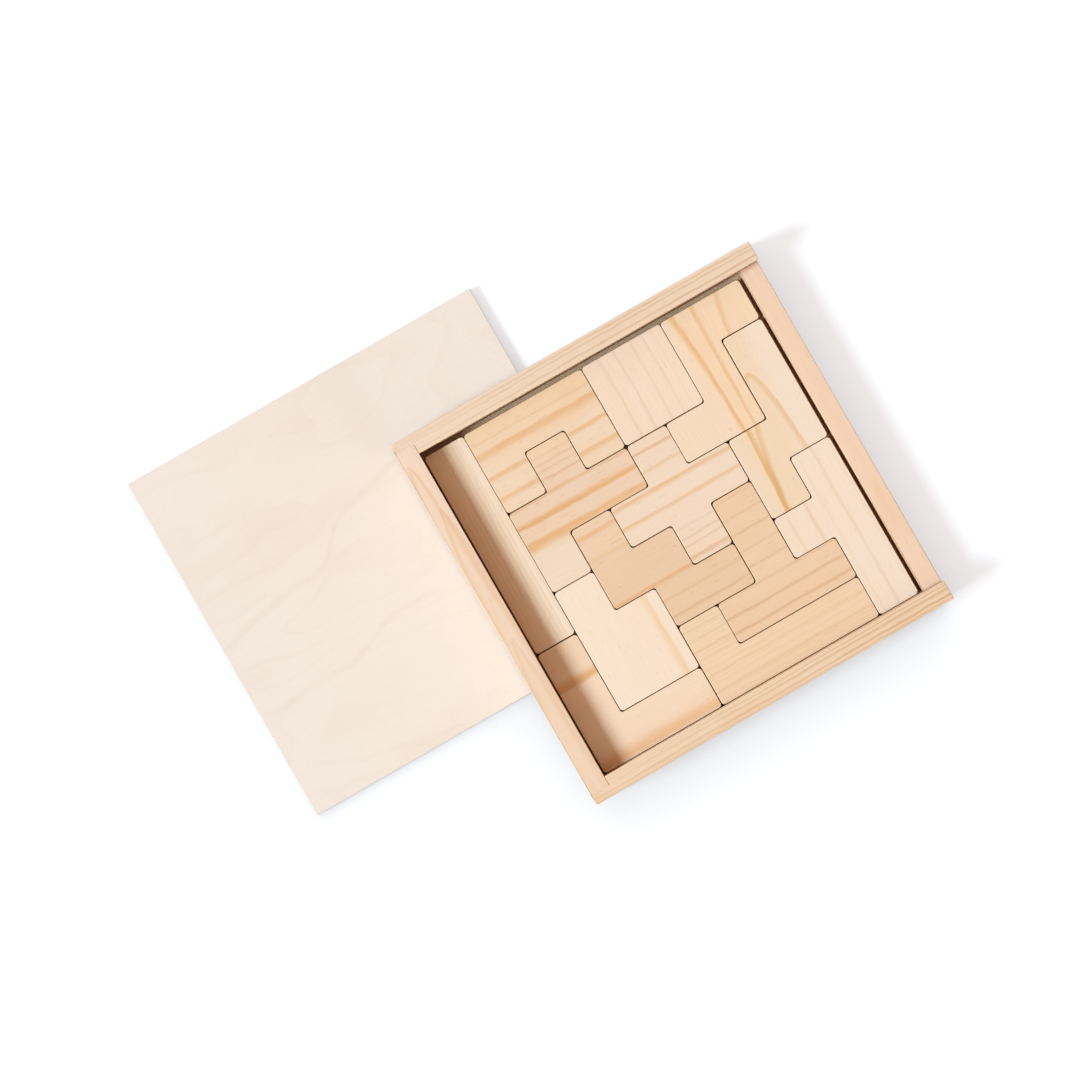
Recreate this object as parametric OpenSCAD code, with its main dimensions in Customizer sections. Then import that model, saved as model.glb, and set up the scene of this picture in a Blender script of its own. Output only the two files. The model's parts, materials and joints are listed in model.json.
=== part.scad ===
// Wooden packing puzzle: thirteen flat pieces fill a square tray that has a sliding lid.
// The lid lies flat on the table and the tray leans on it, so the tray slopes a little.
// Units are millimetres. +X runs along the tray's back wall to its low wall, +Y to the back
// wall, +Z up. The origin is on the table, at the centre of the whole object's footprint.

/* [Pieces] */
// Side of one cell of the pieces
cell = 16; // [12:0.5:20]
// Thickness of the pieces
piece_h = 8; // [5:0.5:12]
// Gap between neighbouring pieces
piece_gap = 0.25; // [0.2:0.05:0.5]
// Radius of a piece's outer corners
corner_r = 1.3; // [1:0.1:2]
// Radius of its inner corners, as the cutter leaves them
inner_corner_r = 0.9; // [0.4:0.1:1.3]
// Play between the packed pieces and the walls, both gaps together
pack_play = 2; // [1.6:0.1:4]

/* [Tray] */
// Thickness of the four walls
wall_t = 7.3; // [6.5:0.1:10]
// Thickness of the floor panel
floor_t = 3; // [2:0.1:4]
// Height of the low wall's top above the pieces
head_room = 1; // [0.5:0.1:3]
// Height of the lip over the lid's groove
lip_h = 2.6; // [2:0.1:4]
// How far the floor panel is let into the walls
floor_in = 3.3; // [2:0.1:4]
// How far the left wall is let into the front and back walls
corner_in = 3.5; // [2:0.1:4]

/* [Lid] */
// Thickness of the lid
lid_t = 3; // [2:0.1:4]
// Depth of the groove that the lid slides in
groove_d = 3; // [2:0.1:4]
// Height of the groove over the lid's thickness
groove_play = 0.4; // [0.2:0.1:1]
// Gap at each edge of the lid when it is shut
lid_gap = 0.25; // [0.15:0.05:0.6]
// How far the lid reaches in under the tray
lid_under = 52.3; // [30:0.1:60]
// How far the lid stands out behind the tray
lid_past = 35.8; // [0:0.1:60]

/* [Hidden] */
$fn = 48;

cut = 1;                              // overrun of a cut past the face that it opens
cells_across = 8;                     // cells along one side of the packed square
left_share = 0.25;                    // share of the play that lies at the left wall
front_share = 0.06;                   // share of the play that lies at the front wall
rest_gap = 0.05;                      // clearance where the tray leans on the lid

inner_w = cells_across * cell + pack_play;
tray_w = inner_w + 2 * wall_t;
low_wall_h = floor_t + piece_h + head_room;
groove_h = lid_t + groove_play;
tray_h = low_wall_h + groove_h + lip_h;
floor_w = inner_w + 2 * floor_in;
left_wall_w = inner_w + 2 * corner_in;

// The shut lid reaches from the left wall's groove to the tray's right face.
lid_x = inner_w + groove_d + wall_t - lid_gap;
lid_y = inner_w + 2 * (groove_d - lid_gap);

// The tray turns about its lower right edge until it rests on the lid's right edge.
tilt = atan2(lid_t + rest_gap, tray_w - lid_under);
low_x = lid_under - tray_w / 2 - lid_x;
high_x = tray_w / 2 + tray_h * sin(tilt);
high_y = tray_w / 2 + lid_past;
centre = [(low_x + high_x) / 2, (high_y - tray_w / 2) / 2];

// Back left corner of the grid of cells, measured from the tray's centre
grid_x = left_share * pack_play - inner_w / 2;
grid_y = front_share * pack_play - inner_w / 2 + cells_across * cell;

// Cells of each piece as [column from the left, row from the back]
CELLS_I = [[0, 0], [0, 1], [0, 2], [0, 3], [0, 4]];
CELLS_U = [[1, 0], [2, 0], [3, 0], [1, 1], [3, 1]];
CELLS_F = [[2, 1], [1, 2], [2, 2], [3, 2], [1, 3]];
CELLS_SQUARE = [[4, 0], [5, 0], [4, 1], [5, 1]];
CELLS_Z = [[7, 0], [6, 0], [6, 1], [6, 2], [5, 2]];
CELLS_N = [[7, 1], [7, 2], [7, 3], [6, 3], [6, 4]];
CELLS_Y = [[7, 4], [7, 5], [7, 6], [7, 7], [6, 5]];
CELLS_X = [[4, 2], [3, 3], [4, 3], [5, 3], [4, 4]];
CELLS_W = [[2, 3], [2, 4], [3, 4], [3, 5], [4, 5]];
CELLS_T = [[5, 4], [5, 5], [4, 6], [5, 6], [6, 6]];
CELLS_P = [[1, 4], [1, 5], [2, 5], [1, 6], [2, 6]];
CELLS_V = [[0, 5], [0, 6], [0, 7], [1, 7], [2, 7]];
CELLS_L = [[3, 6], [3, 7], [4, 7], [5, 7], [6, 7]];

function has(cells, column, row) =
    len([for (c = cells) if (c[0] == column && c[1] == row) c]) > 0;

// Half the gap along a cell's open edge, and none where the next cell is the same piece's
function edge_gap(cells, column, row) = has(cells, column, row) ? 0 : piece_gap / 2;

module on_table() {
    translate([-centre[0], -centre[1], 0]) children();
}

module on_lid() {
    on_table() translate([tray_w / 2, 0, 0]) rotate([0, tilt, 0]) translate([-tray_w / 2, 0, 0]) children();
}

// The area between a corner's two edges and its round, which reaches a little past the edges
module corner_area(x, y, sx, sy, r) {
    past = 0.1;
    translate([x, y]) difference() {
        translate([sx > 0 ? -past : -r, sy > 0 ? -past : -r]) square(r + past);
        translate([sx * r, sy * r]) circle(r);
    }
}

// All corners of one kind: outer corners for true, inner corners for false
module corners(cells, outer) {
    side = outer ? 1 : -1;
    r = outer ? corner_r : inner_corner_r;
    for (i = [0 : cells_across], j = [0 : cells_across], sx = [-1, 1], sy = [-1, 1]) {
        column = sx > 0 ? i : i - 1;
        row = sy > 0 ? j - 1 : j;
        here = has(cells, column, row);
        beside = has(cells, column - sx, row);
        across = has(cells, column, row + sy);
        if (here == outer && beside != outer && across != outer)
            corner_area(i * cell + side * sx * piece_gap / 2, side * sy * piece_gap / 2 - j * cell, sx, sy, r);
    }
}

module cell_square(cells, c) {
    x0 = c[0] * cell + edge_gap(cells, c[0] - 1, c[1]);
    x1 = (c[0] + 1) * cell - edge_gap(cells, c[0] + 1, c[1]);
    y0 = edge_gap(cells, c[0], c[1] + 1) - (c[1] + 1) * cell;
    y1 = -c[1] * cell - edge_gap(cells, c[0], c[1] - 1);
    translate([x0, y0]) square([x1 - x0, y1 - y0]);
}

// A flat piece made of cells. The shift leaves it a little out of line, as hands do.
module piece(cells, shift) {
    on_lid() translate([grid_x + shift[0], grid_y + shift[1], floor_t]) linear_extrude(piece_h)
        difference() {
            union() {
                for (c = cells) cell_square(cells, c);
                corners(cells, false);
            }
            corners(cells, true);
        }
}

module piece_i() { color("burlywood") piece(CELLS_I, [0.06, 0.12]); }
module piece_u() { color("wheat") piece(CELLS_U, [-0.03, 0.04]); }
module piece_f() { color("navajowhite") piece(CELLS_F, [-0.03, 0]); }
module piece_square() { color("bisque") piece(CELLS_SQUARE, [-0.03, 0.12]); }
module piece_z() { color("wheat") piece(CELLS_Z, [-0.06, 0.04]); }
module piece_n() { color("bisque") piece(CELLS_N, [0.06, -0.04]); }
module piece_y() { color("antiquewhite") piece(CELLS_Y, [0.12, -0.05]); }
module piece_x() { color("wheat") piece(CELLS_X, [0, 0.04]); }
module piece_w() { color("burlywood") piece(CELLS_W, [0.01, 0]); }
module piece_t() { color("burlywood") piece(CELLS_T, [0.07, 0]); }
module piece_p() { color("blanchedalmond") piece(CELLS_P, [0.06, 0]); }
module piece_v() { color("navajowhite") piece(CELLS_V, [0.06, -0.02]); }
module piece_l() { color("wheat") piece(CELLS_L, [0.14, -0.02]); }

// Back wall in the tray's own frame, with its inner face towards the front
module long_wall() {
    translate([0, inner_w / 2, 0]) difference() {
        translate([-tray_w / 2, 0, 0]) cube([tray_w, wall_t, tray_h]);
        // groove for the lid, open at the right end
        translate([-tray_w / 2 - cut, -cut, low_wall_h]) cube([tray_w + 2 * cut, groove_d + cut, groove_h]);
        // rebate for the end of the left wall
        translate([-tray_w / 2 - cut, -cut, -cut]) cube([wall_t + cut, corner_in + cut, tray_h + 2 * cut]);
        // rebate for the floor panel
        translate([-floor_w / 2, -cut, -cut]) cube([floor_w, floor_in + cut, floor_t + cut]);
    }
}

module tray_back_wall() { color("burlywood") on_lid() long_wall(); }

module tray_front_wall() { color("burlywood") on_lid() mirror([0, 1, 0]) long_wall(); }

module tray_left_wall() {
    color("navajowhite") on_lid() difference() {
        translate([-tray_w / 2, -left_wall_w / 2, 0]) cube([wall_t, left_wall_w, tray_h]);
        translate([-inner_w / 2 - groove_d, -left_wall_w / 2 - cut, low_wall_h])
            cube([groove_d + cut, left_wall_w + 2 * cut, groove_h]);
        translate([-floor_w / 2, -floor_w / 2, -cut]) cube([floor_in + cut, floor_w, floor_t + cut]);
    }
}

// The low wall that the lid slides in over
module tray_right_wall() {
    color("navajowhite") on_lid() difference() {
        translate([inner_w / 2, -inner_w / 2, 0]) cube([wall_t, inner_w, low_wall_h]);
        translate([inner_w / 2 - cut, -inner_w / 2 - cut, -cut])
            cube([floor_in + cut, inner_w + 2 * cut, floor_t + cut]);
    }
}

module tray_floor() {
    color("tan") on_lid() translate([-floor_w / 2, -floor_w / 2, 0]) cube([floor_w, floor_w, floor_t]);
}

module lid() {
    color("linen") on_table() translate([low_x, high_y - lid_y, 0]) cube([lid_x, lid_y, lid_t]);
}

tray_back_wall();
tray_front_wall();
tray_left_wall();
tray_right_wall();
tray_floor();
lid();
piece_i();
piece_u();
piece_f();
piece_square();
piece_z();
piece_n();
piece_y();
piece_x();
piece_w();
piece_t();
piece_p();
piece_v();
piece_l();
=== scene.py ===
"""A wooden packing puzzle: thirteen pine pieces in a pine tray, with its plywood lid beside and under it.

The CAD model gives every shape and place. This script eases the edges of each piece of wood, gives it
pine or plywood that runs right through it, and sets the floor, the light and the camera.
"""

import json
import math

import bmesh
import bpy
from mathutils import Matrix, Vector
from mathutils.bvhtree import BVHTree

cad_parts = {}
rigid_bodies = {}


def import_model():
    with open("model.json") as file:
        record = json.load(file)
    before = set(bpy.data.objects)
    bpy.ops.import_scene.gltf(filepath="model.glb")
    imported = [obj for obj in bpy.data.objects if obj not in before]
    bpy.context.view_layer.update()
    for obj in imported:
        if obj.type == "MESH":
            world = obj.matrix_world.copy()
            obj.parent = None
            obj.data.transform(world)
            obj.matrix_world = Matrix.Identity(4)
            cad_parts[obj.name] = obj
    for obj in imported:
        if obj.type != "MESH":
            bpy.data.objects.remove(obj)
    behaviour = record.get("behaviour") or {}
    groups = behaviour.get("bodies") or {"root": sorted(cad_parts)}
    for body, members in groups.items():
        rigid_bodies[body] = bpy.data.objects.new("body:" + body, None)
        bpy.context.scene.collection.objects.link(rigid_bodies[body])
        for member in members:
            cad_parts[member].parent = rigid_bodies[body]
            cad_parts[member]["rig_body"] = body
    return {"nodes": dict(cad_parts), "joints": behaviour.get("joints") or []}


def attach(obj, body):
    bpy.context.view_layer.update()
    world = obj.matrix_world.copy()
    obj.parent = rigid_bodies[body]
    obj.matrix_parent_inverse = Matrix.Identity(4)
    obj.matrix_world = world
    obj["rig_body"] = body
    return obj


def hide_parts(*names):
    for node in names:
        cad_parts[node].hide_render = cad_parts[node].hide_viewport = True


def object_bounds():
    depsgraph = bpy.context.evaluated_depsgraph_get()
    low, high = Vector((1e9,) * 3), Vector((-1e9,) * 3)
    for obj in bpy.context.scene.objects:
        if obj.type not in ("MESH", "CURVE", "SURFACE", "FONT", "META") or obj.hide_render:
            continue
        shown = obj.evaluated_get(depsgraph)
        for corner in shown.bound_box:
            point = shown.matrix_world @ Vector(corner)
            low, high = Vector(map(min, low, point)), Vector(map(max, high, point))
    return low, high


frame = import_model()
cad_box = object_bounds()

MM = 0.001


# ---- Places -----------------------------------------------------------------------------------------

# The tray leans a little, because its left side stands on the lid. Pieces lift out along the tray's up.
lift = next(joint for joint in frame["joints"] if joint["name"] == "piece_i_lift")
tilt = math.atan2(lift["axis"][0], lift["axis"][2])
resting_edge = min((v.co for v in frame["nodes"]["tray_front_wall"].data.vertices), key=lambda co: co.z)
TRAY = Matrix.Translation((resting_edge.x, 0, resting_edge.z)) @ Matrix.Rotation(tilt, 4, "Y")
TABLE = Matrix.Identity(4)

TRAY_WALLS = ["tray_back_wall", "tray_front_wall", "tray_left_wall", "tray_right_wall"]
GLUED = TRAY_WALLS + ["tray_floor"]


def corners_in(place, node):
    """The lowest and highest corner of a CAD node in the axes of place, in metres."""
    inverse = place.inverted()
    points = [inverse @ v.co for v in frame["nodes"][node].data.vertices]
    low = Vector(map(min, zip(*points)))
    high = Vector(map(max, zip(*points)))
    return low, high


class Grain:
    """Where a board's grain starts and which way it runs.

    Its three coordinates are in mm: along the grain, across it, and up from the underside. They start
    at the board's back left corner.
    """

    def __init__(self, node, place, direction):
        low, high = corners_in(place, node)
        self.size = (high - low) / MM
        self.location = place @ Vector((low.x, high.y, low.z))
        along_x = direction == "x"
        local_turn = Matrix.Identity(3) if along_x else Matrix.Rotation(math.radians(-90), 3, "Z")
        self.turn = place.to_3x3() @ local_turn
        self.scale = (MM, -MM, MM) if along_x else (MM, MM, MM)
        self.along = self.turn @ Vector((1, 0, 0))
        self.across = self.turn @ Vector((0, 1, 0))
        self.up = self.turn @ Vector((0, 0, 1))
        self.length = self.size.x if along_x else self.size.y
        self.width = self.size.y if along_x else self.size.x
        self.thickness = self.size.z


# ---- Shader building --------------------------------------------------------------------------------

# How bright the light makes a white level surface. Colours below are as they look in that light.
LIGHT_LEVEL = 1.25


def seen(red, green, blue):
    """A colour from 0 to 255, as it looks in the light, as the surface's own linear colour."""
    return [((c / 255 + 0.055) / 1.055) ** 2.4 / LIGHT_LEVEL for c in (red, green, blue)] + [1]


# How far apart two boards lie in the noises for one step of seed, in mm, so that no two boards match.
BOARD_SPACING = (137.0, 71.0, 43.0)

# How far a ramp of colours reaches past its board, in mm, since the bends carry its lines out there.
RAMP_MARGIN = 6.0


class Paint:
    """One procedural material, built a node at a time. Most methods return the output that they make."""

    def __init__(self, name):
        self.material = bpy.data.materials.new(name)
        self.material.use_nodes = True
        self.tree = self.material.node_tree
        self.surface = self.tree.nodes["Principled BSDF"]

    def feed(self, socket, value):
        if isinstance(value, bpy.types.NodeSocket):
            self.tree.links.new(value, socket)
        else:
            socket.default_value = value

    def add(self, kind, inputs=(), **settings):
        node = self.tree.nodes.new(kind)
        for name, value in settings.items():
            setattr(node, name, value)
        for key, value in dict(inputs).items():
            self.feed(node.inputs[key], value)
        return node

    def math(self, operation, *values):
        return self.add("ShaderNodeMath", dict(enumerate(values)), operation=operation).outputs[0]

    def vector(self, operation, *values):
        return self.add("ShaderNodeVectorMath", dict(enumerate(values)), operation=operation)

    def parts(self, vector):
        return self.add("ShaderNodeSeparateXYZ", {0: vector}).outputs

    def step(self, value, low, high):
        """0 below low and 1 above high, smooth between them."""
        inputs = {"Value": value, "From Min": low, "From Max": high}
        return self.add("ShaderNodeMapRange", inputs, interpolation_type="SMOOTHSTEP").outputs[0]

    def spread(self, value, low, high):
        """A noise of 0 to 1, stretched to run from low to high."""
        inputs = {"Value": value, "From Min": 0.25, "From Max": 0.75, "To Min": low, "To Max": high}
        return self.add("ShaderNodeMapRange", inputs).outputs[0]

    def noise(self, point, size, detail=2.0, roughness=0.5):
        """Noise of 0 to 1 whose marks are size mm along, across and up."""
        scaled = self.vector("DIVIDE", point, size).outputs[0]
        inputs = {"Vector": scaled, "Scale": 1.0, "Detail": detail, "Roughness": roughness}
        return self.add("ShaderNodeTexNoise", inputs).outputs["Fac"]

    def multiply(self, amount, first, second):
        """Two colours multiplied. The mix node's colours are its inputs 6 and 7 and its output 2."""
        node = self.add("ShaderNodeMix", data_type="RGBA", blend_type="MULTIPLY")
        self.feed(node.inputs[0], amount)
        self.feed(node.inputs[6], first)
        self.feed(node.inputs[7], second)
        return node.outputs[2]

    def stain(self, colour, amount, tint):
        """The colour multiplied by a tint of red, green and blue, as far as amount says."""
        return self.multiply(amount, colour, (*tint, 1))

    def ramp(self, value, stops, span):
        """Colours along a value that is in mm. The stops are (mm, colour)."""
        low, high = span
        node = self.add("ShaderNodeValToRGB")
        node.color_ramp.interpolation = "EASE"
        elements = node.color_ramp.elements
        elements.remove(elements[1])
        for number, (at, colour) in enumerate(sorted(stops)):
            place = (at - low) / (high - low)
            element = elements[0] if number == 0 else elements.new(place)
            element.position = place
            element.color = colour
        share = self.math("DIVIDE", self.math("SUBTRACT", value, low), high - low)
        self.feed(node.inputs[0], share)
        return node.outputs[0]

    def grain_point(self, grain, seed):
        """The point's grain coordinates, in mm, and the same moved far off to its board's own noise."""
        here = self.add("ShaderNodeTexCoord")
        mapping = self.add("ShaderNodeMapping", {"Vector": here.outputs["Object"]}, vector_type="TEXTURE")
        mapping.inputs["Location"].default_value = grain.location
        mapping.inputs["Rotation"].default_value = grain.turn.to_euler()
        mapping.inputs["Scale"].default_value = grain.scale
        point = mapping.outputs[0]
        far_off = [seed * spacing for spacing in BOARD_SPACING]
        return point, self.vector("ADD", point, far_off).outputs[0]

    def facing(self, direction):
        """How squarely the surface faces along a direction of the object, from 0 to 1."""
        normal = self.add("ShaderNodeTexCoord").outputs["Normal"]
        return self.math("ABSOLUTE", self.vector("DOT_PRODUCT", normal, direction).outputs["Value"])

    def end_grain(self, fibre_direction):
        """1 where the fibres end in the surface and 0 where they lie in it."""
        return self.step(self.facing(fibre_direction), 0.55, 0.9)

    def fibres(self, colour, fibre, dark, pale):
        """The colour varied by a noise of fibres, from one tint to the other."""
        shades = [self.spread(fibre, low, high) for low, high in zip(dark, pale)]
        tint = self.add("ShaderNodeCombineColor", dict(enumerate(shades))).outputs[0]
        return self.multiply(1.0, colour, tint)

    def eased(self):
        """1 along the middle of an eased edge and 0 on the faces."""
        return self.add("ShaderNodeAttribute", attribute_name="eased").outputs["Fac"]

    def finish(self, colour, roughness, height, depth, specular):
        """Joins the colour, roughness and bump to the surface. The depth is in mm."""
        bump = self.add("ShaderNodeBump", {"Strength": 1.0, "Distance": depth * MM, "Height": height})
        self.feed(self.surface.inputs["Base Color"], colour)
        self.feed(self.surface.inputs["Roughness"], roughness)
        self.feed(self.surface.inputs["Normal"], bump.outputs[0])
        self.surface.inputs["Specular IOR Level"].default_value = specular
        return self.material


# ---- Pine -------------------------------------------------------------------------------------------

# A growth ring is (mm across the grain, mm that it fades over, orange, dark). A ring is sharp on one
# side and fades on the other: towards the front or right, or the other way where the fade is negative.
# The sharp side is RING_EDGE mm wide, and wider by RING_SOFTNESS of the fade.
RING_EDGE = 0.5
RING_SOFTNESS = 0.25

# An arch comes up and fades out between these distances inside its outline, in mm.
ARCH_EDGE = (-0.4, 0.2)
ARCH_FADE = (0.2, 2.6)

# From one of the cutter's marks on a side to the next, in mm.
SAW_MARK_PITCH = 0.55

# The tints of the marks in pine. A board's blotch sets how much of CLOUD_LOSS its clouds take away.
CLOUD_LOSS = (0.03, 0.09, 0.18)
PALE_PATCH = (1.0, 1.01, 1.03)
FAINT_RING = (0.86, 0.76, 0.66)
ORANGE_RING = (0.93, 0.74, 0.50)
DARK_RING = (0.74, 0.64, 0.54)
INSIDE_ARCH = (0.97, 0.94, 0.87)
RESIN_CANAL = (0.80, 0.68, 0.55)
PINE_END = (0.82, 0.74, 0.66)
# The side tint is painted shade, which tones down the key light on the sides of the wood.
PAINTED_SIDE_SHADE = (0.94, 0.88, 0.80)
PINE_RUBBED = (0.96, 0.92, 0.87)
PINE_FIBRES = {"dark": (0.975, 0.965, 0.95), "pale": (1.02, 1.025, 1.03)}


def ring_stops(rings):
    """The rings as the stops of a ramp: red says how orange and green says how dark."""
    stops = []
    for at, fade, orange, dark in rings:
        sharp_side = at - math.copysign(RING_EDGE + RING_SOFTNESS * abs(fade), fade)
        stops.append((sharp_side, (0, 0, 0, 1)))
        stops.append((at, (orange, dark, 0, 1)))
        stops.append((at + fade, (0, 0, 0, 1)))
    return stops


def pine(name, grain, seed, tones, rings=(), fine=(2.0, 0.2), slope=0.0, wave=0.7, lean=0.4,
         squeeze=(0.0, 0.0), bow=0.0, fade=0.0, arches=(), blotch=0.5):
    """Pine whose grain runs right through the board.

    tones are colours across the grain, and fine is the pitch and strength of its faint rings. slope,
    wave, lean, squeeze and bow bend the rings: along the grain, at random, with depth, towards one
    line, and in an arc. fade makes the rings stronger at one end. Each arch is the nested tip of rings
    that a flat-sawn board shows: (mm along, mm across, sharpness, orange, dark). blotch is the strength
    of the broad clouds.
    """
    paint = Paint(name)
    point, far_point = paint.grain_point(grain, seed)
    along, across, up = paint.parts(point)

    # Across the grain, bent as the tree grew.
    bend = paint.spread(paint.noise(far_point, (60, 24, 24), 1.0), -wave, wave)
    quiver = paint.spread(paint.noise(far_point, (7, 3, 3), 1.0), -0.22, 0.22)
    leaning = paint.math("MULTIPLY", paint.math("SUBTRACT", up, grain.thickness), lean)
    ring = paint.math("ADD", paint.math("ADD", across, leaning), paint.math("ADD", bend, quiver))
    ring = paint.math("MULTIPLY_ADD", along, -slope, ring)
    if bow:
        middle = paint.math("DIVIDE", paint.math("SUBTRACT", along, grain.length / 2), grain.length / 2)
        ring = paint.math("MULTIPLY_ADD", paint.math("MULTIPLY", middle, middle), bow, ring)
    if squeeze[1]:
        centre, rate = squeeze
        wider = paint.math("MULTIPLY_ADD", along, rate, 1.0)
        ring = paint.math("MULTIPLY_ADD", paint.math("SUBTRACT", ring, centre), wider, centre)

    # The wood between the rings.
    span = (-RAMP_MARGIN, grain.width + RAMP_MARGIN)
    colour = paint.ramp(ring, [(at, seen(*tone)) for at, tone in tones], span)
    cloud = paint.noise(far_point, (34, 9, 9), 3.0, 0.55)
    cloud_tint = [1 - blotch * loss for loss in CLOUD_LOSS]
    colour = paint.stain(colour, paint.step(cloud, 0.48, 0.75), cloud_tint)
    pale = paint.noise(far_point, (22, 12, 12), 2.0)
    colour = paint.stain(colour, paint.step(pale, 0.5, 0.72), PALE_PATCH)

    # Faint rings: each darkens slowly through the summer and ends sharply.
    pitch, strength = fine
    uneven = paint.spread(paint.noise(far_point, (90, 5, 5), 1.0), -0.35, 0.35)
    year = paint.math("FRACT", paint.math("ADD", paint.math("DIVIDE", ring, pitch), uneven))
    summer = paint.math("POWER", year, 3.0)
    ended = paint.math("SUBTRACT", 1.0, paint.step(year, 0.9, 1.0))
    faint = paint.math("MULTIPLY", summer, ended)
    patchy = paint.spread(paint.noise(far_point, (26, 7, 7), 2.0), 0.1, 1.0)
    faint = paint.math("MULTIPLY", paint.math("MULTIPLY", faint, patchy), strength * 2)
    colour = paint.stain(colour, faint, FAINT_RING)

    # Strong rings, each in its own place.
    strong = paint.ramp(ring, ring_stops(rings) or [(0, (0, 0, 0, 1))], span)
    orange, dark = paint.add("ShaderNodeSeparateColor", {0: strong}).outputs[:2]
    uneven_along = paint.spread(paint.noise(far_point, (16, 3, 3), 3.0, 0.6), 0.75, 1.2)
    if fade:
        gradient = paint.math("MULTIPLY_ADD", along, 2 * fade / grain.length, 1 - fade)
        uneven_along = paint.math("MULTIPLY", uneven_along, gradient)
    orange = paint.math("MULTIPLY", orange, uneven_along)
    dark = paint.math("MULTIPLY", dark, uneven_along)

    for tip_along, tip_across, sharpness, arch_orange, arch_dark in arches:
        aside = paint.math("SUBTRACT", ring, tip_across)
        curve = paint.math("MULTIPLY", paint.math("MULTIPLY", aside, aside), sharpness)
        inside = paint.math("SUBTRACT", paint.math("SUBTRACT", along, tip_along), curve)
        steep = paint.math("MULTIPLY_ADD", paint.math("ABSOLUTE", aside), 2 * sharpness, 1.0)
        from_edge = paint.math("DIVIDE", inside, steep)
        outer = paint.step(from_edge, *ARCH_EDGE)
        inner = paint.math("SUBTRACT", 1.0, paint.step(from_edge, *ARCH_FADE))
        line = paint.math("MULTIPLY", paint.math("MULTIPLY", outer, inner), uneven_along)
        orange = paint.math("MULTIPLY_ADD", line, arch_orange, orange)
        dark = paint.math("MULTIPLY_ADD", line, arch_dark, dark)
        colour = paint.stain(colour, paint.math("MULTIPLY", outer, 0.2), INSIDE_ARCH)

    colour = paint.stain(colour, orange, ORANGE_RING)
    colour = paint.stain(colour, dark, DARK_RING)

    # Fibres, with a few resin canals as short brown dashes.
    fibre = paint.noise(far_point, (9, 0.35, 0.35), 3.0, 0.6)
    colour = paint.fibres(colour, fibre, **PINE_FIBRES)
    canal = paint.step(paint.noise(far_point, (3.5, 0.35, 0.35), 0.0), 0.79, 0.84)
    colour = paint.stain(colour, paint.math("MULTIPLY", canal, 0.5), RESIN_CANAL)

    # End grain drinks in more light, and shows every fibre as a dot.
    end = paint.end_grain(grain.along)
    dots = paint.noise(far_point, (0.3, 0.3, 0.3), 2.0, 0.7)
    dotted_end = paint.math("MULTIPLY", end, paint.spread(dots, 0.5, 1.0))
    colour = paint.stain(colour, dotted_end, PINE_END)

    # The sides are painted a little darker than the sanded top and bottom faces, as painted shade that
    # tones down the key light on them. The sawn and milled sides carry fine marks of the cutter.
    top = paint.step(paint.facing(grain.up), 0.4, 0.9)
    side = paint.math("SUBTRACT", 1.0, top)
    colour = paint.stain(colour, side, PAINTED_SIDE_SHADE)
    walk = paint.math("ADD", along, across)
    marks = paint.math("SINE", paint.math("MULTIPLY", walk, 2 * math.pi / SAW_MARK_PITCH))
    marks = paint.math("MULTIPLY", paint.math("MULTIPLY", marks, side), 0.12)

    # The eased edge is rubbed smooth and has picked up a little grime.
    eased = paint.eased()
    rubbed = paint.math("MULTIPLY", eased, paint.spread(paint.noise(far_point, (5, 5, 5), 2.0), 0.35, 1.0))
    colour = paint.stain(colour, rubbed, PINE_RUBBED)

    roughness = paint.spread(fibre, 0.56, 0.66)
    roughness = paint.math("MULTIPLY_ADD", orange, -0.08, roughness)
    roughness = paint.math("MULTIPLY_ADD", end, 0.14, roughness)
    roughness = paint.math("MULTIPLY_ADD", eased, -0.06, roughness)

    height = paint.math("MULTIPLY_ADD", fibre, 0.8, paint.math("MULTIPLY", orange, 0.3))
    height = paint.math("MULTIPLY_ADD", dots, paint.math("MULTIPLY", end, 0.5), height)
    height = paint.math("MULTIPLY_ADD", canal, -0.5, paint.math("ADD", height, marks))
    return paint.finish(colour, roughness, height, depth=0.05, specular=0.35)


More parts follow.
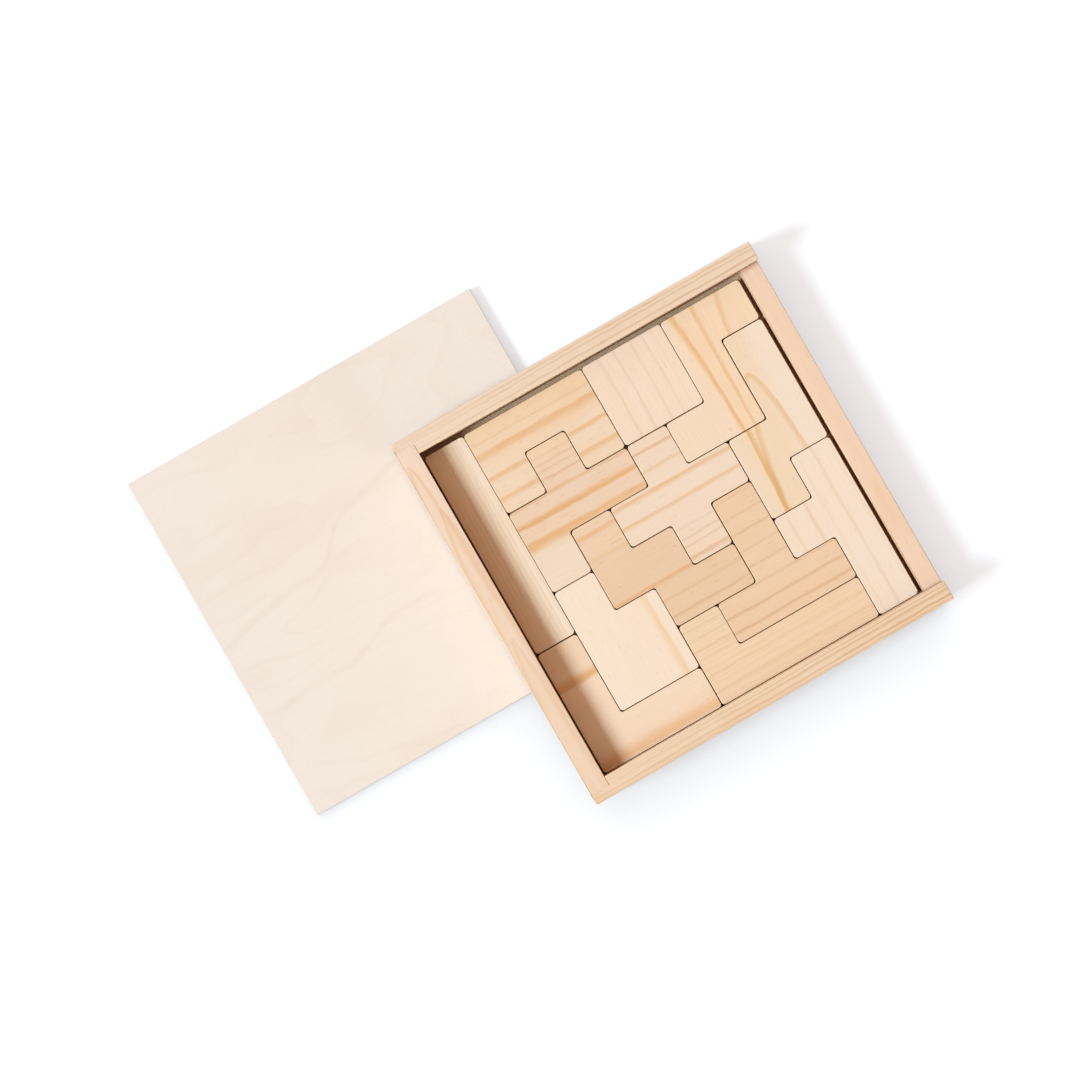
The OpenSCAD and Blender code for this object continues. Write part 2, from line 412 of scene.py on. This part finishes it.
# Each board's grain and colours, as pine() takes them. Tones and rings are placed in mm.
PIECES = {
    "piece_i": dict(
        direction="y", seed=1, tones=[(0, (242, 211, 177)), (10, (247, 223, 195)), (16, (249, 228, 204))],
        fine=(1.7, 0.55), wave=0.4,
    ),
    "piece_u": dict(
        direction="x", seed=2,
        tones=[(0, (246, 212, 172)), (10, (245, 214, 181)), (18, (245, 217, 187)), (32, (245, 217, 187))],
        rings=[
            (5.3, 0.8, 0.05, 0.2), (9.4, 3.4, 0.74, 0.12), (18.0, 2.0, 0.76, 0.15), (26.1, 2.4, 0.72, 0.15),
        ],
        fine=(2.1, 0.06), wave=0.3,
    ),
    "piece_f": dict(
        direction="x", seed=3,
        tones=[(0, (243, 210, 177)), (16, (241, 211, 183)), (26, (241, 210, 180)), (36, (243, 221, 195))],
        rings=[
            (3.4, 0.8, 0.0, 0.25), (5.9, 0.8, 0.0, 0.36), (8.2, 0.8, 0.0, 0.5), (11.2, 0.8, 0.0, 0.54),
            (15.7, 1.4, 0.45, 0.3), (23.0, -2.7, 1.05, 0.08), (29.6, 4.8, 0.98, 0.04),
        ],
        fine=(2.3, 0.06), slope=0.015, fade=-0.15, wave=0.25,
    ),
    "piece_square": dict(
        direction="y", seed=4, tones=[(0, (248, 221, 195)), (32, (249, 222, 196))],
        rings=[
            (6.8, 0.9, 0.05, 0.25), (12.7, 0.9, 0.05, 0.3), (19.4, 0.9, 0.05, 0.24), (24.3, 0.9, 0.05, 0.2),
            (28.0, 0.8, 0.0, 0.12),
        ],
        fine=(2.0, 0.05), bow=0.4, wave=0.25, blotch=0.2,
    ),
    "piece_z": dict(
        direction="y", seed=5,
        tones=[(0, (247, 220, 192)), (17, (248, 220, 192)), (21, (248, 216, 181)), (48, (247, 217, 184))],
        rings=[(21.0, -2.8, 0.95, 0.12), (28.2, 2.4, 0.6, 0.15), (37.8, 2.2, 0.62, 0.12)],
        fine=(2.6, 0.05), squeeze=(26.3, 0.016), wave=0.35, blotch=0.25,
    ),
    "piece_n": dict(
        direction="y", seed=6,
        tones=[(0, (244, 219, 192)), (14, (244, 218, 187)), (20, (245, 218, 188)), (28, (246, 224, 201))],
        rings=[(9.6, 2.2, 1.1, 0.2)],
        arches=[(14.5, 18.5, 0.5, 0.62, 0.12)],
        fine=(2.8, 0.04), slope=-0.06, wave=0.35, fade=0.15, blotch=0.3,
    ),
    "piece_y": dict(
        direction="y", seed=7, tones=[(0, (247, 223, 199)), (32, (247, 225, 203))],
        rings=[
            (4.6, 1.2, 0.15, 0.12), (12.3, 1.2, 0.2, 0.32), (18.2, 0.8, 0.0, 0.18), (24.0, 1.2, 0.05, 0.28),
            (30.6, 0.8, 0.1, 0.1),
        ],
        fine=(2.2, 0.04), wave=0.3, blotch=0.15,
    ),
    "piece_x": dict(
        direction="x", seed=8, tones=[(0, (243, 216, 189)), (18, (244, 220, 196)), (48, (245, 216, 189))],
        rings=[
            (4.1, 1.1, 0.45, 0.5), (10.8, 1.5, 0.36, 0.16), (17.7, 2.0, 0.78, 0.1), (25.0, 1.6, 0.7, 0.08),
            (34.6, 0.7, 0.0, 0.26), (38.2, 0.7, 0.0, 0.42), (41.0, 0.7, 0.0, 0.42), (45.2, 1.7, 0.4, 0.5),
        ],
        fine=(2.0, 0.05), fade=-0.1, wave=0.3, blotch=0.25,
    ),
    "piece_w": dict(
        direction="x", seed=9,
        tones=[(0, (241, 209, 177)), (10, (240, 208, 176)), (18, (237, 204, 171)), (48, (237, 203, 168))],
        rings=[
            (4.0, 2.0, 0.7, 0.0), (12.6, 1.8, 0.32, 0.03), (31.1, 1.5, 0.7, 0.03), (38.1, 0.9, 0.15, 0.24),
            (44.2, 1.0, 0.15, 0.4),
        ],
        fine=(2.4, 0.06), wave=0.4, blotch=0.25,
    ),
    "piece_t": dict(
        direction="x", seed=10, tones=[(0, (241, 206, 171)), (24, (240, 208, 174)), (48, (241, 205, 171))],
        rings=[
            (1.4, 0.8, 0.0, 0.25), (8.1, 0.9, 0.0, 0.34), (14.0, 0.9, 0.04, 0.4), (20.2, 0.9, 0.04, 0.26),
            (26.3, 0.9, 0.04, 0.34), (32.4, 0.9, 0.0, 0.32), (38.8, 1.1, 0.12, 0.46), (44.4, 1.1, 0.18, 0.5),
        ],
        fine=(2.2, 0.06), wave=0.35, blotch=0.3,
    ),
    "piece_p": dict(
        direction="y", seed=11, tones=[(0, (250, 229, 206)), (32, (250, 227, 203))],
        rings=[(27.4, -3.2, 0.5, 0.0)],
        fine=(2.6, 0.03), wave=0.5, fade=0.25, blotch=0.12,
    ),
    "piece_v": dict(
        direction="x", seed=12,
        tones=[(0, (244, 213, 180)), (20, (248, 220, 191)), (34, (249, 221, 193)), (48, (248, 215, 184))],
        rings=[(15.2, -4.0, 1.05, 0.25), (46.0, -4.6, 0.78, 0.04)],
        fine=(2.6, 0.06), wave=0.4, blotch=0.3,
    ),
    "piece_l": dict(
        direction="x", seed=13, tones=[(0, (243, 213, 180)), (32, (246, 212, 177))],
        rings=[
            (3.0, 0.6, 0.0, 0.28), (6.8, 0.6, 0.0, 0.24), (11.2, 0.8, 0.0, 0.4), (14.2, 0.6, 0.0, 0.26),
            (21.2, 0.7, 0.0, 0.24), (27.0, 0.9, 0.0, 0.3),
        ],
        fine=(1.9, 0.32), wave=0.5,
    ),
}

WALLS = {
    "tray_back_wall": dict(
        direction="x", seed=21, tones=[(0, (241, 216, 191)), (7.3, (240, 214, 188))], fine=(1.5, 0.3),
        rings=[(1.6, 0.6, 0.2, 0.3), (3.0, 0.6, 0.2, 0.26), (5.6, 0.7, 0.2, 0.34)],
        lean=0.9, wave=0.4, fade=0.6,
    ),
    "tray_front_wall": dict(
        direction="x", seed=22, tones=[(0, (240, 212, 182)), (7.3, (239, 209, 178))], fine=(1.4, 0.35),
        rings=[
            (0.8, 0.5, 0.1, 0.2), (1.6, 0.6, 0.3, 0.42), (3.1, 0.7, 0.25, 0.36), (5.3, 0.8, 0.25, 0.36),
            (6.8, 0.5, 0.1, 0.25),
        ],
        lean=0.8, wave=0.4, fade=0.6, blotch=0.8,
    ),
    "tray_left_wall": dict(
        direction="y", seed=23, tones=[(0, (246, 219, 195)), (7.3, (245, 217, 193))], fine=(3.4, 0.15),
        lean=0.5, wave=0.9,
        arches=[(6, 1.5, 2.2, 0.35, 0.1), (24, 4.0, 2.4, 0.4, 0.06), (76, 3.0, 2.6, 0.3, 0.05)],
    ),
    "tray_right_wall": dict(
        direction="y", seed=24, tones=[(0, (245, 212, 184)), (7.3, (244, 211, 183))], fine=(3.6, 0.12),
        lean=0.5, wave=0.9, blotch=0.7,
    ),
}


# ---- Plywood ----------------------------------------------------------------------------------------

# The thickness of a face ply, and how far a glue line reaches from its middle, in mm.
FACE_PLY = 0.9
GLUE_LINE = 0.07

# The veneer's rings in mm: their pitch, how far the swells move them, and their slope across the sheet.
VENEER_PITCH = 7.0
VENEER_SWELL = 60.0
VENEER_SLOPE = 0.35

# A line of the figure fades out between these distances from its middle, and over these at its ends.
FIGURE_FADE = (0.2, 2.0)
FIGURE_START = 4
FIGURE_END = 5

# The tints of the marks in plywood.
VENEER_CLOUD = (0.985, 0.965, 0.94)
CONTOUR = (0.90, 0.82, 0.74)
FIGURE_LINE = (0.82, 0.70, 0.60)
PORE = (0.85, 0.75, 0.65)
PLY_EDGE = (0.95, 0.89, 0.80)
PLY_END = (0.76, 0.66, 0.55)
GLUE = (0.50, 0.36, 0.25)
PLY_RUBBED = (0.90, 0.84, 0.76)
PLY_FIBRES = {"dark": (0.985, 0.975, 0.96), "pale": (1.01, 1.015, 1.02)}


def plywood(name, grain, seed, tones, lines=(), figure=0.05):
    """Three plies of pale veneer. The face grain runs along, and the middle ply crosses it.

    tones are colours along the sheet. Each line of the face's figure is (points, strength), where the
    points are (mm along, mm across). figure is the strength of the faint contours all over.
    """
    paint = Paint(name)
    point, far_point = paint.grain_point(grain, seed)
    along, across, up = paint.parts(point)
    span = (-RAMP_MARGIN, grain.length + RAMP_MARGIN)
    colour = paint.ramp(along, [(at, seen(*tone)) for at, tone in tones], span)

    # Broad clouds, and faint contours where the peeled veneer cuts the rings at a shallow angle.
    cloud = paint.noise(far_point, (55, 26, 9), 3.0, 0.55)
    colour = paint.stain(colour, paint.step(cloud, 0.45, 0.75), VENEER_CLOUD)
    swell = paint.noise(far_point, (95, 42, 50), 2.0, 0.45)
    hill = paint.math("MULTIPLY_ADD", swell, VENEER_SWELL, paint.math("MULTIPLY", across, VENEER_SLOPE))
    year = paint.math("FRACT", paint.math("DIVIDE", hill, VENEER_PITCH))
    contour = paint.math("MULTIPLY", paint.math("POWER", year, 5.0), figure * 3)
    colour = paint.stain(colour, contour, CONTOUR)

    # The figure's clearer lines.
    shimmer = paint.spread(paint.noise(far_point, (10, 5, 5), 3.0, 0.6), 0.2, 1.3)
    sway = paint.spread(paint.noise(far_point, (12, 12, 12), 2.0), -1.2, 1.2)
    for points, strength in lines:
        path = paint.add("ShaderNodeFloatCurve", {"Value": paint.math("DIVIDE", along, grain.length)})
        curve = path.mapping.curves[0]
        for number, (at, side) in enumerate(points):
            place = (at / grain.length, side / grain.width)
            if number < 2:
                curve.points[number].location = place
            else:
                curve.points.new(*place)
        path.mapping.update()
        middle = paint.math("MULTIPLY_ADD", path.outputs[0], grain.width, sway)
        aside = paint.math("ABSOLUTE", paint.math("SUBTRACT", across, middle))
        near = paint.math("SUBTRACT", 1.0, paint.step(aside, *FIGURE_FADE))
        first, last = points[0][0], points[-1][0]
        starts = paint.step(along, first - FIGURE_START, first + FIGURE_START)
        ends = paint.math("SUBTRACT", 1.0, paint.step(along, last - FIGURE_END, last + FIGURE_END))
        shown = paint.math("MULTIPLY", paint.math("MULTIPLY", near, starts), ends)
        amount = paint.math("MULTIPLY", paint.math("MULTIPLY", shown, shimmer), strength)
        colour = paint.stain(colour, amount, FIGURE_LINE)

    # Fibres and pores.
    fibre = paint.noise(far_point, (7, 0.4, 0.4), 3.0, 0.6)
    colour = paint.fibres(colour, fibre, **PLY_FIBRES)
    pore = paint.step(paint.noise(far_point, (2.2, 0.35, 0.35), 0.0), 0.76, 0.82)
    colour = paint.stain(colour, paint.math("MULTIPLY", pore, 0.25), PORE)

    # The edge shows the plies: end grain is darker, and the glue is a thin brown line.
    middle_height = grain.thickness / 2
    from_middle = paint.math("ABSOLUTE", paint.math("SUBTRACT", up, middle_height))
    core_half = middle_height - FACE_PLY
    outer = paint.step(from_middle, core_half - 0.02, core_half + 0.02)
    face_end = paint.end_grain(grain.along)
    core_end = paint.end_grain(grain.across)
    edge = paint.math("MAXIMUM", face_end, core_end)
    face_part = paint.math("MULTIPLY", outer, face_end)
    core_part = paint.math("MULTIPLY", paint.math("SUBTRACT", 1.0, outer), core_end)
    end_here = paint.math("ADD", face_part, core_part)
    colour = paint.stain(colour, edge, PLY_EDGE)
    rough_fibres = paint.noise(far_point, (0.5, 0.5, 0.3), 2.0, 0.7)
    rough_end = paint.math("MULTIPLY", end_here, paint.spread(rough_fibres, 0.5, 1.0))
    colour = paint.stain(colour, rough_end, PLY_END)
    from_glue = paint.math("ABSOLUTE", paint.math("SUBTRACT", from_middle, core_half))
    glue = paint.math("SUBTRACT", 1.0, paint.step(from_glue, GLUE_LINE / 2, GLUE_LINE))
    colour = paint.stain(colour, paint.math("MULTIPLY", glue, edge), GLUE)

    eased = paint.eased()
    colour = paint.stain(colour, paint.math("MULTIPLY", eased, 0.6), PLY_RUBBED)

    roughness = paint.math("MULTIPLY_ADD", edge, 0.15, paint.spread(fibre, 0.5, 0.6))
    height = paint.math("MULTIPLY_ADD", fibre, 0.7, paint.math("MULTIPLY", pore, -0.5))
    height = paint.math("MULTIPLY_ADD", paint.math("MULTIPLY", rough_fibres, end_here), 0.9, height)
    return paint.finish(colour, roughness, height, depth=0.035, specular=0.35)


# ---- Pieces -----------------------------------------------------------------------------------------

# How far in from its corner each kind of edge is eased, and the number of faces round it.
PIECE_EDGE = 0.22 * MM
WALL_EDGE = 0.25 * MM
LID_EDGE = 0.15 * MM
EDGE_SEGMENTS = 3

# Edges that bend more than SHARP_ANGLE are eased. Faces within FLAT_ANGLE of each other are one face,
# points within SAME_POINT are one point, and an edge within TOUCHING of another part lies on it.
SHARP_ANGLE = math.radians(30)
FLAT_ANGLE = math.radians(0.5)
SAME_POINT = 0.001 * MM
TOUCHING = 0.03 * MM


def surface_of(node):
    """A CAD node's surface, to measure distances to."""
    mesh = frame["nodes"][node].data
    return BVHTree.FromPolygons([v.co for v in mesh.vertices], [p.vertices for p in mesh.polygons])


GLUED_SURFACES = {node: surface_of(node) for node in GLUED}


def is_glued(node, edge):
    """True where an edge of one part of the tray lies on another part, so that nobody could sand it."""
    middle = (edge.verts[0].co + edge.verts[1].co) / 2
    others = [GLUED_SURFACES[other] for other in GLUED if node in GLUED and other != node]
    return any(other.find_nearest(middle, TOUCHING)[0] is not None for other in others)


def eased_copy(node, radius):
    """A copy of a CAD node with its outer edges rounded off, which stands in for the node."""
    source = frame["nodes"][node]
    mesh = source.data.copy()
    mesh.materials.clear()
    for name in ("custom_normal", "sharp_edge", "sharp_face"):
        if name in mesh.attributes:
            mesh.attributes.remove(mesh.attributes[name])
    form = bmesh.new()
    form.from_mesh(mesh)
    bmesh.ops.remove_doubles(form, verts=form.verts, dist=SAME_POINT)
    bmesh.ops.dissolve_limit(form, angle_limit=FLAT_ANGLE, verts=form.verts, edges=form.edges)
    sharp = [
        edge for edge in form.edges
        if edge.is_convex and edge.calc_face_angle(0) > SHARP_ANGLE and not is_glued(node, edge)
    ]
    made = bmesh.ops.bevel(
        form, geom=sharp, offset=radius, offset_type="OFFSET", segments=EDGE_SEGMENTS, profile=0.5,
        affect="EDGES",
    )
    rounded = set(made["faces"])
    layer = form.verts.layers.float.new("eased")
    for vert in form.verts:
        vert[layer] = 1.0 if rounded.issuperset(vert.link_faces) else 0.0
    for face in form.faces:
        face.smooth = True
    form.to_mesh(mesh)
    form.free()
    piece = bpy.data.objects.new(node + "_wood", mesh)
    bpy.context.scene.collection.objects.link(piece)
    normals = piece.modifiers.new("flat faces, round edges", "WEIGHTED_NORMAL")
    normals.weight = 100
    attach(piece, source["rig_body"])
    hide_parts(node)
    return piece


def make_pine_parts(parts, place, radius):
    """Each part as an eased copy in its own pine. The place is what its grain is measured in."""
    for node, look in parts.items():
        look = dict(look)
        grain = Grain(node, place, look.pop("direction"))
        piece = eased_copy(node, radius)
        piece.data.materials.append(pine(node + "_pine", grain, **look))


make_pine_parts(PIECES, TRAY, PIECE_EDGE)
make_pine_parts(WALLS, TRAY, WALL_EDGE)

lid = eased_copy("lid", LID_EDGE)
lid.data.materials.append(plywood(
    "lid_plywood", Grain("lid", TABLE, "x"), seed=31,
    # The darker tone at 84 mm along is painted shade, which cancels a glow of light on the lid there.
    tones=[
        (0, (240, 229, 219)), (45, (241, 229, 217)), (70, (240, 228, 216)), (84, (237, 224, 212)),
        (94, (240, 228, 217)),
    ],
    lines=[
        ([(0, 69), (24, 63), (46, 60), (59, 48), (70, 44), (90, 40)], 0.19),
        ([(3, 96), (30, 95), (41, 94), (52, 89), (63, 87), (79, 88)], 0.15),
        ([(6, 118), (28, 127), (50, 132)], 0.1),
    ],
))

floor_panel = eased_copy("tray_floor", LID_EDGE)
floor_panel.data.materials.append(plywood(
    "floor_plywood", Grain("tray_floor", TRAY, "x"), seed=32,
    tones=[(0, (250, 217, 178)), (136, (249, 215, 176))], figure=0.08,
))


# ---- Floor, light and camera ------------------------------------------------------------------------

# The table's half width in metres, and its drop below the object, so that the two don't share a plane.
TABLE_REACH = 6.0
TABLE_DROP = 0.02 * MM
TABLE_COLOUR = (0.30, 0.30, 0.30, 1)
GLOW_COLOUR = (0.965, 0.99, 1.04, 1)

# The table glows by SHADED_GLOW everywhere, and by OPEN_GLOW more where nothing stands near. What is
# near is looked for towards the back and the right, so the soft shade falls mostly in front of the tray.
SHADED_GLOW = 0.30
OPEN_GLOW = 0.42
SHADE_REACH = 32 * MM
SHADE_DIRECTION = (0.3, 0.7, 1.0)

# How bright the backdrop looks to the camera. The wood is lit by the fill instead.
BACKDROP_BRIGHTNESS = 0.95


def make_table():
    """A pale sweep that the light burns out to white. Its glow keeps the shadows on it pale."""
    mesh = bpy.data.meshes.new("table")
    form = bmesh.new()
    bmesh.ops.create_grid(form, x_segments=1, y_segments=1, size=TABLE_REACH)
    form.to_mesh(mesh)
    form.free()
    table = bpy.data.objects.new("table", mesh)
    table.location.z = cad_box[0].z - TABLE_DROP
    bpy.context.scene.collection.objects.link(table)
    paint = Paint("table_sweep")
    paint.surface.inputs["Base Color"].default_value = TABLE_COLOUR
    paint.surface.inputs["Roughness"].default_value = 0.9
    paint.surface.inputs["Specular IOR Level"].default_value = 0.1
    paint.surface.inputs["Emission Color"].default_value = GLOW_COLOUR
    leaning = paint.vector("NORMALIZE", SHADE_DIRECTION).outputs[0]
    near_wood = {"Distance": SHADE_REACH, "Normal": leaning}
    open_share = paint.add("ShaderNodeAmbientOcclusion", near_wood, samples=8).outputs["AO"]
    glow = paint.math("MULTIPLY_ADD", open_share, OPEN_GLOW, SHADED_GLOW)
    paint.feed(paint.surface.inputs["Emission Strength"], glow)
    mesh.materials.append(paint.material)


def make_light(fill, fill_colour, key, key_colour, key_side, key_height, key_size):
    """A soft key light from the lid's side, and an even fill from all round. Angles are in degrees."""
    sun = bpy.data.lights.new("key", "SUN")
    sun.energy = key
    sun.color = key_colour
    sun.angle = math.radians(key_size)
    lamp = bpy.data.objects.new("key", sun)
    side, height = math.radians(key_side), math.radians(key_height)
    level = math.cos(height)
    travel = Vector((math.cos(side) * level, math.sin(side) * level, -math.sin(height)))
    lamp.rotation_euler = travel.to_track_quat("-Z", "Y").to_euler()
    bpy.context.scene.collection.objects.link(lamp)

    world = bpy.data.worlds.new("studio")
    world.use_nodes = True
    tree = world.node_tree
    background = tree.nodes["Background"]
    seen_directly = tree.nodes.new("ShaderNodeLightPath").outputs["Is Camera Ray"]
    brightness = tree.nodes.new("ShaderNodeMapRange")
    brightness.inputs["To Min"].default_value = fill
    brightness.inputs["To Max"].default_value = BACKDROP_BRIGHTNESS
    tree.links.new(seen_directly, brightness.inputs["Value"])
    tree.links.new(brightness.outputs[0], background.inputs["Strength"])
    background.inputs["Color"].default_value = (*fill_colour, 1)
    bpy.context.scene.world = world


def make_camera(place, lens, nod, lean, turn):
    """Almost straight above, turned so that the tray's long walls slant up to the right.

    The place is in metres and the lens in mm. The angles, in degrees, turn the world into the camera's
    view: turn is about the line straight up, and then lean and nod are small tilts across it.
    """
    data = bpy.data.cameras.new("camera")
    data.lens = lens
    data.sensor_width = 36
    camera = bpy.data.objects.new("camera", data)
    into_view = (
        Matrix.Rotation(math.radians(nod), 4, "X")
        @ Matrix.Rotation(math.radians(lean), 4, "Y")
        @ Matrix.Rotation(math.radians(turn), 4, "Z")
    )
    camera.matrix_world = Matrix.Translation(place) @ into_view.transposed()
    bpy.context.scene.collection.objects.link(camera)
    bpy.context.scene.camera = camera


make_table()
make_light(
    fill=0.46, fill_colour=(1.32, 0.92, 0.67), key=4.2, key_colour=(0.86, 1.08, 1.22),
    key_side=-3, key_height=36.5, key_size=18,
)
make_camera(place=(-0.0020, -0.0136, 1.0990), lens=102.8, nod=-0.694, lean=-0.226, turn=29.872)
bpy.context.scene.view_settings.view_transform = "Standard"
